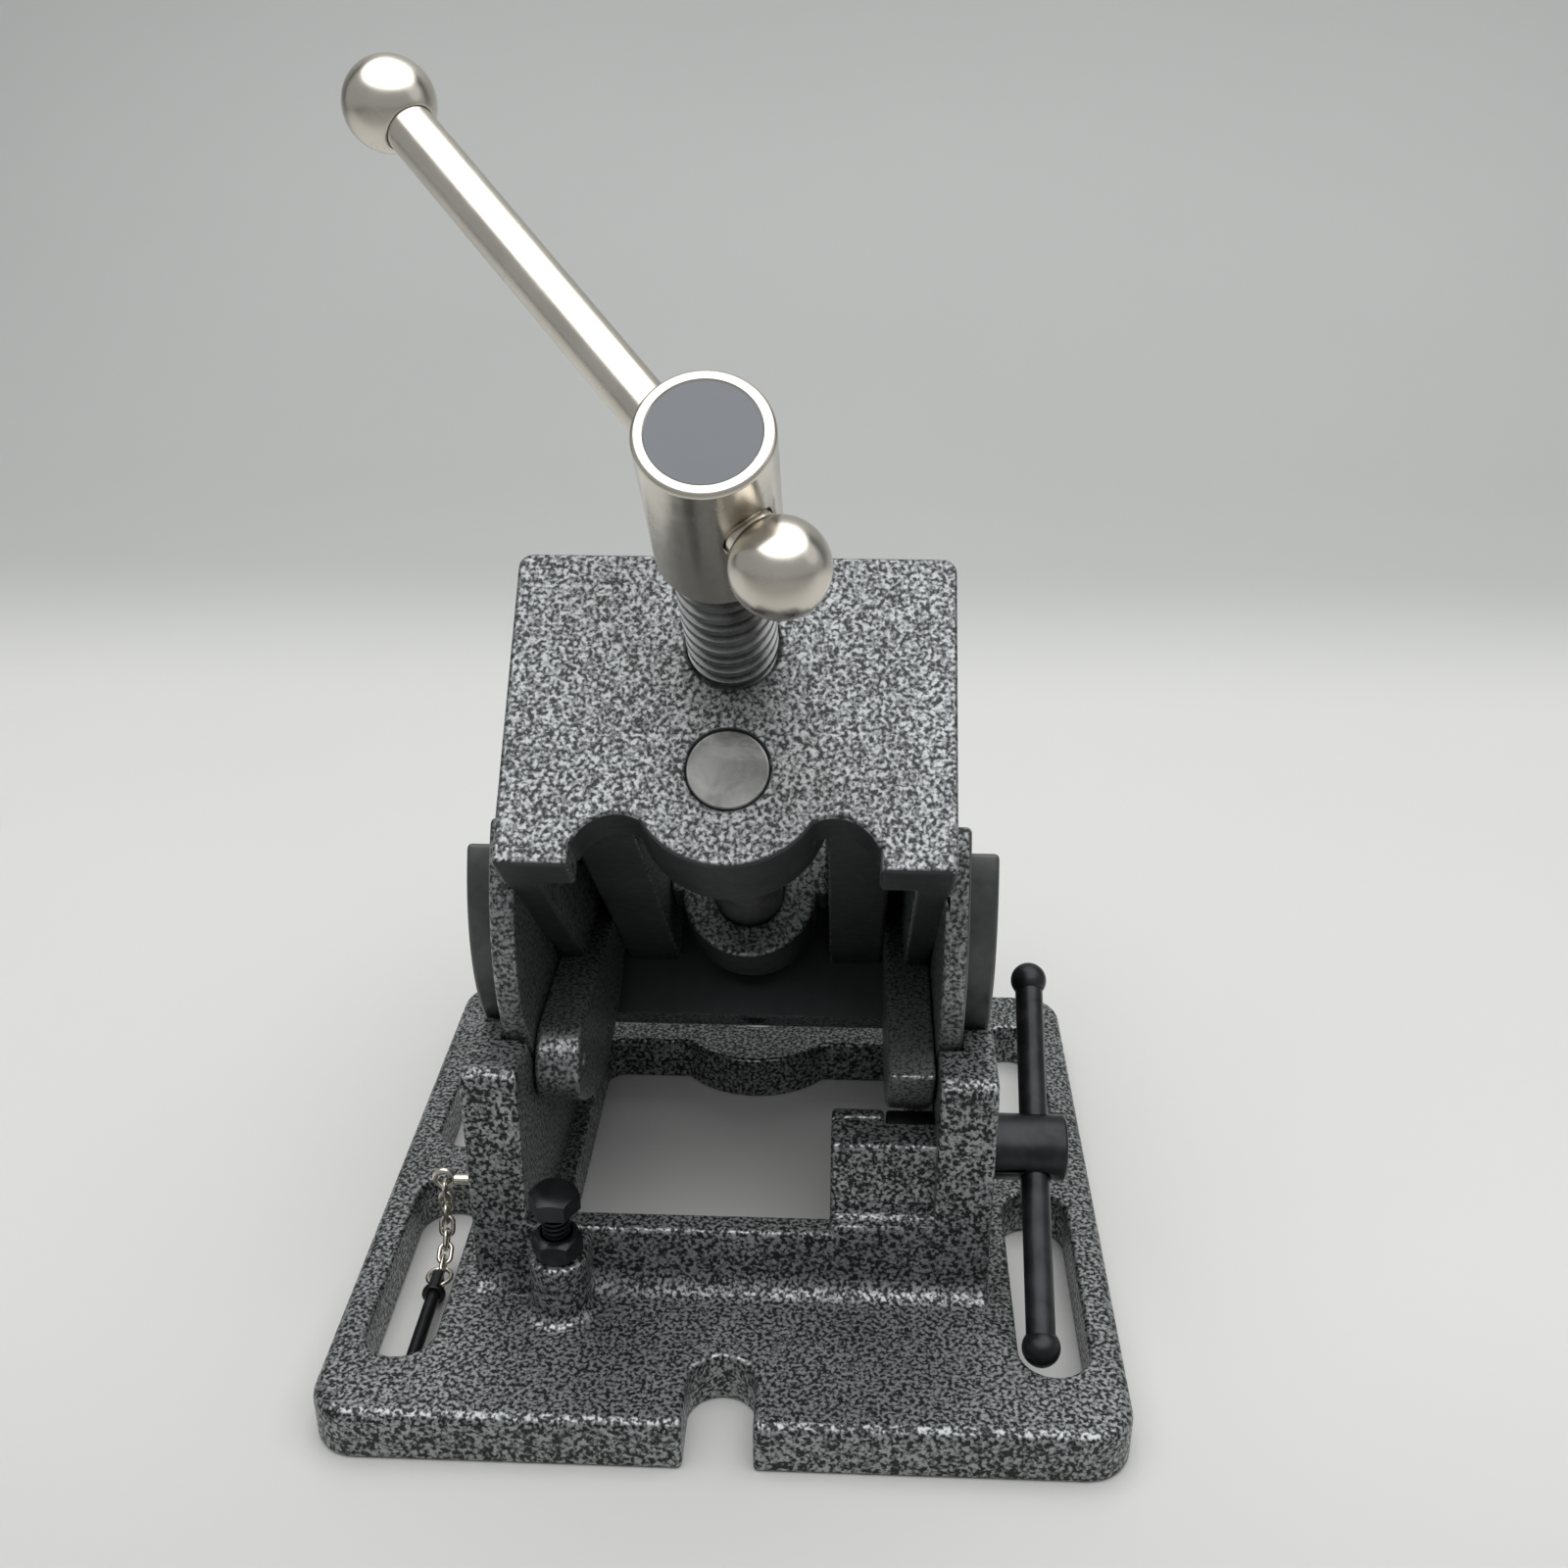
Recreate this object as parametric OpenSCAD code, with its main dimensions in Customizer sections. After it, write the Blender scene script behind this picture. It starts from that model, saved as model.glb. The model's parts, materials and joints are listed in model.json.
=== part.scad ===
// Tilting drill press vise: a cradle base that carries a screw vise on two half-round trunnions.
// Frame: X to the right, Y away from the handle, Z up, origin at the base's centre on the table.
// Pieces of the vise are drawn level about the tilt axis and then turned to the resting tilt.

/* [Base plate] */
// Width of the base plate, across the vise
base_w = 140; // [136:1:170]
// Depth of the base plate, along the vise
base_d = 136; // [132:1:160]
// Thickness of the base plate
base_t = 10; // [8:0.5:11]
// Radius of the plate's corners
base_corner_r = 8; // [5:0.5:12]
// Radius along the plate's top edge
base_edge_r = 2; // [1:0.25:3]
// Width of the side slots
slot_w = 12.4; // [10:0.2:12.8]
// End-to-end length of one side slot
slot_l = 49; // [40:1:50]
// Distance from the middle to a side slot's centre line
slot_x = 57.8; // [57:0.2:60]
// Bridge between the two slots of one side
slot_bridge = 10; // [8:0.5:14]
// Width of the open slots in the front and rear edges
notch_w = 12; // [8:0.5:14]
// Depth of the open slots
notch_l = 16; // [12:0.5:18]
// Half width of the window under the vise
window_x = 33.5; // [33.2:0.1:35]
// Rear edge of the window
window_rear = 45; // [44:0.5:50]
// Radius of the pad round the rear open slot
notch_pad_r = 20; // [14:0.5:21]
// Radius of the window's corners
window_corner_r = 4; // [2:0.5:8]

/* [Cheeks] */
// Distance from the middle to a cheek's outer face
cheek_x = 47; // [46.5:0.1:49]
// Thickness of a cheek
cheek_t = 10.2; // [9.5:0.1:10.4]
// Front face of the cheeks and of the cross wall
cheek_front = -35; // [-38:0.5:-34]
// Rear face of the cheeks
cheek_rear = 56; // [54:0.5:60]
// Height of the cheeks' shoulders
shoulder_z = 56; // [50:0.5:56.5]
// Radius of the shoulders' corners
shoulder_r = 3; // [1:0.5:6]
// Thickness of the front cross wall
wall_t = 5; // [4:0.5:6]
// Height of the front cross wall
wall_z = 23; // [18:0.5:26]
// Radius of the fillet at the foot of the cross wall
wall_fillet = 4; // [2:0.5:6]

/* [Tilt] */
// Resting tilt of the vise
tilt = 45; // [35:1:55]
// Tilt axis, along Y
pivot_y = 12; // [11:0.25:13]
// Tilt axis, above the table
pivot_z = 74.5; // [74:0.25:78]
// Radius of the machined trunnion rings
ring_r = 34; // [30:0.5:36]
// Width of the machined trunnion rings
ring_w = 5.2; // [4:0.1:5.6]
// Radius of the painted trunnion bands
band_r = 40; // [37:0.5:41]
// Top of the rings, below the tilt axis
ring_top = 8.2; // [6:0.2:12]
// Top of the bands, below the tilt axis
band_top = 5.7; // [4:0.2:8]
// Radius of the locking flanges inside the cheeks
flange_r = 46.5; // [44:0.25:46.75]
// Top of the locking flanges below the tilt axis, at the resting tilt
flange_top = 20.5; // [16:0.5:26]
// Radius of the left flange's nose, round its foremost lock pin hole
flange_nose_r = 8; // [6:0.5:8]
// Radial play of the trunnions in their cradles
cradle_play = 0.3; // [0.2:0.05:0.6]
// Side play of the vise between the cheeks
side_play = 0.5; // [0.3:0.1:0.8]

/* [Vise body] */
// Width of the end plate
plate_w = 76; // [75:0.5:80]
// Height of the end plate
plate_h = 56.7; // [54:0.1:60]
// Thickness of the end plate
plate_t = 11; // [9:0.5:13]
// Radius of the end plate's top corners
plate_corner_r = 2.5; // [1:0.5:6]
// Front face of the end plate, ahead of the tilt axis
plate_out = 49.6; // [48:0.2:56]
// Guide rod axis above the end plate's feet
rod_rise = 17.2; // [16.8:0.1:18]
// Lead screw axis above the end plate's feet
screw_rise = 39.8; // [38:0.2:42]
// Radius of the lobe round the guide rod
lobe_r = 17; // [15:0.25:17]
// Length of the lobe and of the screw's nut boss
lobe_l = 20; // [14:0.5:22]
// Radius of the screw's nut boss
nut_boss_r = 13; // [11:0.5:14]
// Radius of the arches between the lobe and the feet
arch_r = 7.6; // [6:0.2:8]
// Distance from the middle to an arch's centre
arch_x = 17.9; // [17:0.1:18.4]
// Arch centre above the end plate's feet
arch_rise = 1.4; // [0.8:0.1:3]
// Distance between the outer faces of the side walls, ahead of the tilt axis
wall_span = 75.2; // [74.5:0.1:76]
// Thickness of the side walls
side_t = 6.2; // [5:0.2:7]
// Half gap between the two rails of the bed
rail_gap = 16.5; // [15:0.25:17]
// Width of a rail
rail_w = 11.5; // [9:0.5:12]
// Height of the rails' underside above the end plate's feet
rail_rise = 10; // [8:0.5:12]
// Height of the bed above the end plate's feet
bed_rise = 31.5; // [31:0.25:33]
// Far face of the vise, behind the tilt axis
far_out = 64; // [62:0.25:64]
// Thickness of the far wall
far_t = 11; // [9:0.5:12]
// Depth of the far wall's lower bar below the tilt axis
far_drop = 19.5; // [16:0.5:19.5]
// Width of the far wall's lower bar
far_bar_w = 65.6; // [58:0.2:65.8]

/* [Jaws] */
// Width of the jaws
jaw_w = 72; // [60:0.5:72.4]
// Thickness of the jaw plates
jaw_plate_t = 5; // [4:0.5:6]
// Opening between the jaw plates
jaw_gap = 8; // [2:0.5:30]
// Thickness of the moving jaw
jaw_t = 12; // [11:0.5:14]
// Radius of the moving jaw's boss round the guide rod
jaw_boss_r = 13.7; // [11:0.1:14.5]
// Length of the moving jaw's boss ahead of the jaw
jaw_boss_l = 0; // [0:0.5:8]
// Gap between the moving jaw's tongue and the rails
tongue_play = 0.3; // [0.2:0.05:0.5]
// Distance between the two screws of a jaw plate
jaw_screw_pitch = 44; // [36:1:56]
// Radius of a jaw screw's shank
jaw_screw_r = 2.5; // [2:0.25:3]
// Radius of a jaw screw's head
jaw_screw_head_r = 4.6; // [4:0.1:5]

/* [Screw and handle] */
// Radius of the lead screw over its thread
screw_r = 7.8; // [6:0.1:8.5]
// Radius of the lead screw's journal in the moving jaw
journal_r = 5.5; // [4.5:0.1:6]
// Depth of the groove in the journal
groove_depth = 1.5; // [1:0.1:2]
// Radius of the pins that hold the journal
retainer_r = 1.5; // [1.2:0.1:1.8]
// Radius of the guide rod
rod_r = 7; // [5:0.25:8]
// Radius of the spindle hub
hub_r = 9.85; // [9.2:0.05:11]
// Length of the spindle hub
hub_l = 32; // [26:0.5:36]
// Thread that shows between the end plate and the hub
hub_out = 35; // [20:0.5:45]
// Radius of the screw's end inside the hub
spigot_r = 7.4; // [6:0.1:7.6]
// Radius of the handle bar
bar_r = 4; // [3:0.1:4.5]
// Distance between the centres of the handle balls
bar_l = 101; // [80:1:120]
// Radius of the handle balls
ball_r = 7.3; // [6:0.1:8]
// Handle bar's place in the hub, from the hub's foot
bar_place = 18; // [12:0.5:22]
// Angle of the handle bar round the screw
bar_angle = 128.5; // [90:0.5:180]

/* [Tilt lock] */
// Lock shaft axis, along Y
lock_y = -21; // [-22:0.1:-20.5]
// Lock shaft axis, above the table
lock_z = 33.2; // [32:0.1:33.5]
// Radius of the lock shaft
lock_r = 6; // [5:0.1:6.4]
// Outer end of the lock shaft
lock_end_x = 61; // [60:0.2:64]
// Radius of the shaft's inner journal
lock_journal_r = 3; // [2.5:0.1:3.4]
// Radius of the shaft's eccentric
cam_r = 4.6; // [4.2:0.1:4.7]
// Throw of the eccentric
cam_throw = 1.3; // [0.8:0.05:1.3]
// Distance from the middle to the T-bar
lock_bar_x = 55.4; // [55.2:0.1:56]
// Radius of the T-bar
lock_bar_r = 2.6; // [2:0.05:2.7]
// Distance between the T-bar's knobs
lock_bar_l = 68; // [56:1:68]
// Radius of the T-bar's knobs
lock_knob_r = 3.4; // [3:0.1:3.4]
// Distance that the T-bar has slid down through the shaft
lock_bar_shift = 1.5; // [0:0.25:1.5]
// Slope of the T-bar
lock_bar_angle = 37.8; // [30:0.2:38]
// Inner end of the lock block
block_x = 18; // [16:0.5:20]
// Depth of the lock block behind the front wall
block_d = 8.5; // [7:0.25:9]
// Height of the lock block
block_z = 39.25; // [39:0.25:42]
// Height of the ledge ahead of the lock block, above the cross wall
block_ledge = 2; // [1:0.25:3]
// Wall round the lock shaft's inner journal
journal_wall = 3; // [2.5:0.25:3.5]

/* [Tilt stop] */
// Place of the stop bolt across the base
stop_x = -30.3; // [-32:0.1:-26]
// Gap from the cross wall to the stop bolt's axis
stop_out = 5.5; // [5:0.1:7]
// Radius of the stop boss
stop_boss_r = 5.2; // [4.5:0.1:6]
// Height of the stop boss
stop_boss_z = 22; // [18:0.5:24]
// Radius of the stop bolt's shank
stop_r = 2.5; // [2:0.1:3]
// Width across the flats of the bolt's head and the nut
hex_af = 8; // [7:0.5:9]
// Height of the bolt's head
stop_head_h = 4; // [3:0.25:5]
// Height of the lock nut
stop_nut_h = 4.8; // [4:0.1:6]
// Top of the stop bolt's head
stop_top_z = 36; // [34:0.5:40]

/* [Lock pin and chain] */
// Radius of the lock pin
pin_r = 1.3; // [1.1:0.1:1.6]
// Length of the lock pin's shank
pin_l = 16; // [12:0.5:18]
// Radius of the lock pin's head
pin_head_r = 2.2; // [1.9:0.1:2.6]
// Length of the lock pin's head
pin_head_l = 5; // [4.5:0.5:7]
// Radius of the chain's wire
wire_r = 0.45; // [0.35:0.05:0.5]
// Distance from link to link
link_pitch = 2.6; // [2.4:0.1:3]
// Number of links
link_count = 7; // [5:2:7]
// Radius of the pin's ring
pin_ring_r = 2.2; // [2.1:0.1:3]
// Chain anchor, along Y
anchor_y = -17; // [-20:0.5:-14]
// Chain anchor, above the table
anchor_z = 18.9; // [18.7:0.1:20]
// Distance from the tilt axis to the lock pin's holes
pin_hole_out = 40; // [38:0.25:42]

/* [Hidden] */
$fn = 64;

// Radial play of a shaft in its bore
fit = 0.05;
// Gap between faces that pass each other
gap = 0.3;
// Overrun of a cut past the face that it opens
over = 1;

cheek_in = cheek_x - cheek_t;
ring_out = cheek_x - side_play - gap;
ring_in = ring_out - ring_w;
cradle_step = ring_in + gap;
slide_x = cheek_in - side_play;
plate_front = -plate_out;
plate_bottom = -rod_rise;
plate_top = plate_h - rod_rise;
// The lobe's circle and an arch's circle meet at the web's lower edge
meet_out = sqrt(pow(arch_x, 2) + pow(rod_rise - arch_rise, 2));
meet_along = (pow(meet_out, 2) + pow(lobe_r, 2) - pow(arch_r, 2)) / (2 * meet_out);
meet_aside = sqrt(max(0, pow(lobe_r, 2) - pow(meet_along, 2)));
web_low = -(meet_along * (rod_rise - arch_rise) + meet_aside * arch_x) / meet_out;
screw_z = screw_rise - rod_rise;
rail_bottom = rail_rise - rod_rise;
bed_z = bed_rise - rod_rise;
rail_out = rail_gap + rail_w;
flange_in = rail_out;
far_in = far_out - far_t;
// Lower edge of the far wall's wide part
far_low = -4;
jaw_top = plate_top;
fixed_face = far_in - jaw_plate_t;
moving_face = fixed_face - jaw_gap;
jaw_front = moving_face - jaw_plate_t;
jaw_back = jaw_front - jaw_t;
boss_back = jaw_back - jaw_boss_l;
boss_front = jaw_front + jaw_plate_t;
jaw_mid_z = (bed_z + jaw_top) / 2;
// Wall of the moving jaw between the screw's end and the jaw plate
seat_wall = 2;
screw_seat = jaw_front - seat_wall;
hub_foot = plate_front - hub_out;
hub_end = hub_foot - hub_l;
bar_y = hub_foot - bar_place;
ball_socket = 4.5;
ball_near = hub_r + sqrt(ball_r * ball_r - bar_r * bar_r) + gap;
ball_far = bar_l - ball_near;
wall_rear = cheek_front + wall_t;
block_rear = wall_rear + block_d;
// Play of the locking flanges over the base
flange_play = 0.6;
flange_clear = flange_r + flange_play;
cam_dir = atan2(pivot_z - lock_z, pivot_y - lock_y);
stop_y = cheek_front - stop_out;
notch_end_y = base_d / 2 - notch_l + notch_w / 2;
slot_y = (slot_l + slot_bridge) / 2;

// Lowest point of the stop bolt
stop_tip_z = 5.5;
// Length and thickness of the flat tongue on the pin's head, and the end left beyond its cross hole
pin_tongue_l = 3.8;
pin_tongue_t = 2;
pin_tongue_end = 1.9;
// Distance from the pin head's foot to its cross hole
pin_eye = pin_head_l - pin_tongue_end;
// Play of the ring in the cross hole, and the hole's radius
pin_hole_play = 0.5;
pin_hole_r = wire_r + pin_hole_play;
// Room left ahead of the far wall, so that the walls clear the base plate as the vise swings
flange_room = 6;
// Thickness of the web between a rail and its side wall
bed_web = 8;
// Depth of a jaw screw in its jaw, and of its head below the plate's face
jaw_screw_depth = 9;
head_sink = 0.4;
// Radius of the guide rod's set screw
set_screw_r = 2.5;

// Places of the two pins that run in the journal's groove
retainer_y = (jaw_back + screw_seat) / 2;
retainer_x = journal_r - groove_depth + retainer_r + fit;
retainer_low = screw_z - journal_r;
retainer_l = jaw_top - retainer_low;

// The anchor's shank, its depth in the cheek, its reach and its eye
anchor_r = 1;
anchor_depth = 5;
anchor_reach = 7.5;
eye_r = 1.9;
eye_wire_r = 1.2 * wire_r;

// The chain hangs from the eye and swings out to the pin that lies in the slot
link_play = 0.25;
link_half = (link_pitch + 2 * wire_r + link_play) / 2;
link_side = 1.15;
chain_first = 6;
chain_last = 78;
chain_x = -cheek_x - anchor_reach - eye_r;
chain_z = anchor_z - eye_r - link_half + 2 * wire_r + link_play;
// Heading of a link, from straight down to almost level
function link_heading(i) = chain_first + (chain_last - chain_first) * pow(i / (link_count - 1), 2);
// Centre of a link: half its own pitch and half of each earlier one along their headings
function link_step(i) = [0, -sin(link_heading(i)), -cos(link_heading(i))] * link_pitch;
function link_centre(i) = i == 0 ? [chain_x, anchor_y, chain_z]
    : link_centre(i - 1) + (link_step(i - 1) + link_step(i)) / 2;
// The ring hangs in the last link and passes through the pin's head
ring_hold = link_half - 2 * wire_r - link_play;
ring_centre = link_centre(link_count - 1) + link_step(link_count - 1) * ring_hold / link_pitch
    + [0, -pin_ring_r, 0];

// Finish colours
paint = [0.36, 0.38, 0.39];
steel = [0.62, 0.62, 0.61];
nickel = [0.80, 0.78, 0.73];
black_oxide = [0.13, 0.13, 0.14];

// A flat slab with round corners, standing on its underside
module round_slab(w, d, h, r) {
    linear_extrude(h) round_rect(w, d, r);
}

module round_rect(w, d, r) {
    square([w - 2 * r, d], center = true);
    square([w, d - 2 * r], center = true);
    for (x = [-1, 1], y = [-1, 1]) translate([x * (w / 2 - r), y * (d / 2 - r)]) circle(r);
}

// A round slab whose top edge is rounded too
module soft_slab(w, d, h, r, edge) {
    round_slab(w, d, h - edge, r);
    round_slab(w - 2 * edge, d - 2 * edge, h, r - edge);
    translate([0, 0, h - edge]) {
        for (y = [-1, 1]) translate([0, y * (d / 2 - edge), 0]) rotate([0, 90, 0])
            cylinder(r = edge, h = w - 2 * r, center = true);
        for (x = [-1, 1]) translate([x * (w / 2 - edge), 0, 0]) rotate([90, 0, 0])
            cylinder(r = edge, h = d - 2 * r, center = true);
        for (x = [-1, 1], y = [-1, 1]) translate([x * (w / 2 - r), y * (d / 2 - r), 0])
            rotate_extrude() translate([r - edge, 0]) intersection() {
                circle(edge);
                translate([0, -edge]) square([edge, 2 * edge]);
            }
    }
}

// A cylinder along X between two places
module rod_x(x0, x1, r) {
    translate([x0, 0, 0]) rotate([0, 90, 0]) cylinder(r = r, h = x1 - x0);
}

// A cylinder along Y between two places
module rod_y(y0, y1, r) {
    translate([0, y0, 0]) rotate([-90, 0, 0]) cylinder(r = r, h = y1 - y0);
}

// A box given by its two corners
module box(low, high) {
    translate(low) cube(high - low);
}

// Draws its children level about the tilt axis, turned to the resting tilt
module on_vise() {
    translate([0, pivot_y, pivot_z]) rotate([-tilt, 0, 0]) children();
}

module at_pivot() {
    translate([0, pivot_y, pivot_z]) children();
}

module at_lock() {
    translate([0, lock_y, lock_z]) children();
}

// One half of a mirrored pair and its twin
module both_sides() {
    children();
    mirror([1, 0, 0]) children();
}

module slot_cut(l, w) {
    translate([0, 0, -over]) linear_extrude(base_t + 2 * over) {
        square([w, l - w], center = true);
        for (y = [-1, 1]) translate([0, y * (l - w) / 2]) circle(w / 2);
    }
}

// Outline of a cheek, seen along X: a block with two round shoulders
module cheek_outline() {
    square_d = cheek_rear - cheek_front;
    translate([cheek_front, 0]) {
        square([square_d, shoulder_z - shoulder_r]);
        translate([shoulder_r, 0]) square([square_d - 2 * shoulder_r, shoulder_z]);
        for (y = [shoulder_r, square_d - shoulder_r])
            translate([y, shoulder_z - shoulder_r]) circle(shoulder_r);
    }
}

module cheek() {
    translate([cheek_in, 0, 0]) rotate([90, 0, 90]) linear_extrude(cheek_t) cheek_outline();
}

// The concave fillet between the front faces and the base plate
module foot_fillet(l) {
    rotate([90, 0, 90]) linear_extrude(l, center = true) difference() {
        translate([-wall_fillet, 0]) square(wall_fillet);
        translate([-wall_fillet, wall_fillet]) circle(wall_fillet);
    }
}

module window_cut() {
    window_d = window_rear - wall_rear;
    translate([0, 0, -over]) linear_extrude(base_t + 2 * over) difference() {
        translate([0, wall_rear + window_d / 2]) round_rect(2 * window_x, window_d, window_corner_r);
        translate([0, notch_end_y]) circle(notch_pad_r);
    }
}

module lock_block() {
    box([block_x, cheek_front, 0], [cheek_in + over, wall_rear + over, wall_z + block_ledge]);
    box([block_x, wall_rear, 0], [cheek_in + over, block_rear, block_z]);
    at_lock() rod_x(block_x, flange_in - gap, lock_journal_r + journal_wall);
}

module base_casting() {
    color(paint) difference() {
        union() {
            difference() {
                soft_slab(base_w, base_d, base_t, base_corner_r, base_edge_r);
                window_cut();
            }
            both_sides() cheek();
            box([-cheek_in - over, cheek_front, 0], [cheek_in + over, wall_rear, wall_z]);
            translate([0, cheek_front, base_t]) foot_fillet(2 * cheek_x);
            translate([stop_x, stop_y, 0]) cylinder(r = stop_boss_r, h = stop_boss_z);
            box([stop_x - stop_boss_r, stop_y, 0], [stop_x + stop_boss_r, cheek_front + over, stop_boss_z]);
            lock_block();
        }
        both_sides() for (y = [-1, 1]) translate([slot_x, y * slot_y, 0]) slot_cut(slot_l, slot_w);
        for (y = [-1, 1]) translate([0, y * base_d / 2, 0]) slot_cut(2 * notch_l, notch_w);
        at_pivot() {
            rod_x(-cheek_x - over, cheek_x + over, ring_r + cradle_play);
            rod_x(-cradle_step, cradle_step, band_r + cradle_play);
            rod_x(-cheek_in, -flange_in + gap, flange_clear);
            rod_x(flange_in - gap, cheek_in, flange_clear);
            translate([0, 0, -pin_hole_out]) rod_x(-cheek_x - over, -cheek_in + over, pin_r + fit);
        }
        at_lock() {
            rod_x(block_x - over, flange_in, lock_journal_r + fit);
            rod_x(flange_in - gap, cheek_in, lock_r + gap);
            rod_x(cheek_in - over, cheek_x + over, lock_r + fit);
        }
        translate([stop_x, stop_y, -over]) cylinder(r = stop_r + fit, h = stop_boss_z + 2 * over);
        translate([0, anchor_y, anchor_z]) rod_x(-cheek_x - over, -cheek_x + anchor_depth, anchor_r + fit);
    }
}

// Six-sided prism of a bolt head or nut
module hexagon(af, h) {
    cylinder(r = af / sqrt(3), h = h, $fn = 6);
}

module stop_bolt() {
    color(black_oxide) translate([stop_x, stop_y, 0]) {
        translate([0, 0, stop_tip_z]) cylinder(r = stop_r, h = stop_top_z - stop_head_h - stop_tip_z);
        translate([0, 0, stop_top_z - stop_head_h]) hexagon(hex_af, stop_head_h);
    }
}

module stop_lock_nut() {
    color(black_oxide) translate([stop_x, stop_y, stop_boss_z]) difference() {
        hexagon(hex_af, stop_nut_h);
        translate([0, 0, -over]) cylinder(r = stop_r + fit, h = stop_nut_h + 2 * over);
    }
}

// An oval wire link that stands along Z, with its flat side facing Y
module wire_link() {
    straight = link_half - link_side;
    for (z = [-1, 1]) translate([0, 0, z * straight]) rotate([90, 0, 0]) rotate([0, 0, z > 0 ? 0 : 180])
        rotate_extrude(angle = 180) translate([link_side, 0]) circle(wire_r, $fn = 24);
    for (x = [-1, 1]) translate([x * link_side, 0, 0])
        cylinder(r = wire_r, h = 2 * straight, center = true, $fn = 24);
}

module chain_anchor() {
    color(nickel) translate([0, anchor_y, anchor_z]) {
        rod_x(-cheek_x - anchor_reach, -cheek_x + anchor_depth, anchor_r);
        translate([-cheek_x - anchor_reach - eye_r, 0, 0]) rotate([90, 0, 0])
            rotate_extrude() translate([eye_r, 0]) circle(eye_wire_r, $fn = 24);
    }
}

module chain() {
    color(nickel) for (i = [0 : link_count - 1])
        translate(link_centre(i)) rotate([-link_heading(i), 0, 0])
            rotate([0, 0, i % 2 == 0 ? 90 : 0]) wire_link();
}

module pin_ring() {
    color(nickel) translate(ring_centre)
        rotate_extrude() translate([pin_ring_r, 0]) circle(wire_r, $fn = 24);
}

module lock_pin() {
    color(black_oxide) translate(ring_centre + [0, -pin_ring_r, 0]) difference() {
        union() {
            rod_y(-pin_eye - pin_l, -pin_eye, pin_r);
            rod_y(-pin_eye, pin_head_l - pin_eye, pin_head_r);
        }
        rod_x(-pin_head_r - over, pin_head_r + over, pin_hole_r);
        both_sides() box([pin_tongue_t / 2, pin_head_l - pin_eye - pin_tongue_l, -pin_head_r - over],
            [pin_head_r + over, pin_head_l, pin_head_r + over]);
    }
}

module lock_shaft() {
    color(black_oxide) at_lock() difference() {
        union() {
            rod_x(cheek_in - gap, lock_end_x, lock_r);
            translate([0, cam_throw * cos(cam_dir), cam_throw * sin(cam_dir)])
                rod_x(flange_in, cheek_in, cam_r);
            rod_x(block_x + gap, flange_in + over, lock_journal_r);
        }
        lock_bar_line() cylinder(r = lock_bar_r + fit, h = 4 * lock_r, center = true);
    }
}

// Turns its children from along Z to along the T-bar
module lock_bar_line() {
    translate([lock_bar_x, 0, 0]) rotate([lock_bar_angle - 90, 0, 0]) children();
}

module lock_bar() {
    color(black_oxide) at_lock() lock_bar_line() translate([0, 0, -lock_bar_shift])
        cylinder(r = lock_bar_r, h = lock_bar_l, center = true);
}

module lock_bar_knobs() {
    color(black_oxide) at_lock() lock_bar_line() translate([0, 0, -lock_bar_shift]) difference() {
        for (z = [-1, 1]) translate([0, 0, z * lock_bar_l / 2]) sphere(lock_knob_r);
        cylinder(r = lock_bar_r + fit, h = lock_bar_l + 2 * fit, center = true);
    }
}

// Outline of the end plate, seen along the screw: feet, arches and the lobe round the guide rod
module end_plate_outline() {
    foot_in = arch_x + arch_r;
    half = plate_w / 2;
    difference() {
        union() {
            translate([-half, web_low]) square([plate_w, plate_top - plate_corner_r - web_low]);
            translate([-half + plate_corner_r, plate_top - 2 * plate_corner_r])
                square([plate_w - 2 * plate_corner_r, 2 * plate_corner_r]);
            for (x = [-1, 1]) translate([x * (half - plate_corner_r), plate_top - plate_corner_r])
                circle(plate_corner_r);
        }
        for (x = [-1, 1]) translate([x * arch_x, plate_bottom + arch_rise]) circle(arch_r);
    }
    for (x = [-1, 1]) translate([x * (half + foot_in) / 2 - (half - foot_in) / 2, plate_bottom])
        square([half - foot_in, web_low - plate_bottom + over]);
    circle(lobe_r);
}

// A half disc below a level line, along X
module half_disc(x0, x1, r, top) {
    intersection() {
        rod_x(x0, x1, r);
        box([x0, -r - over, -r - over], [x1, r + over, -top]);
    }
}

// Takes the corner off a flange's front end and leaves a round nose
module nose_cut(nose) {
    nose_z = -flange_top - nose;
    nose_y = -sqrt(pow(flange_r - nose, 2) - pow(nose_z, 2));
    difference() {
        box([flange_in - over, -flange_r - over, nose_z * flange_r / (flange_r - nose)],
            [slide_x + over, nose_y, -flange_top + over]);
        translate([0, nose_y, nose_z]) rod_x(flange_in - 2 * over, slide_x + 2 * over, nose + gap);
    }
}

// A trunnion on the right: painted band, machined ring and locking flange
module trunnion(nose) {
    half_disc(wall_span / 2 - over, ring_in, band_r, band_top);
    half_disc(ring_in - over, ring_out, ring_r, ring_top);
    intersection() {
        rotate([tilt, 0, 0]) difference() {
            half_disc(flange_in, slide_x, flange_r, flange_top);
            if (nose > 0) nose_cut(nose);
        }
        box([flange_in, -flange_r - over, -flange_r - over], [slide_x, flange_r + over, bed_z - over]);
    }
}

// A side wall and a rail of the bed, on the right
module bed_side() {
    box([wall_span / 2 - side_t, plate_front + over, plate_bottom], [wall_span / 2, 0, bed_z]);
    box([wall_span / 2 - side_t, -over, plate_bottom], [slide_x, far_in - flange_room, bed_z]);
    box([rail_gap, plate_front + over, rail_bottom], [rail_out, far_in + over, bed_z]);
    box([rail_gap, plate_front + over, bed_z - bed_web], [slide_x, far_in + over, bed_z]);
}

module far_wall() {
    box([-jaw_w / 2, far_in, far_low], [jaw_w / 2, far_out, jaw_top]);
    box([-far_bar_w / 2, far_in, -far_drop], [far_bar_w / 2, far_out, far_low + over]);
}

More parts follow.
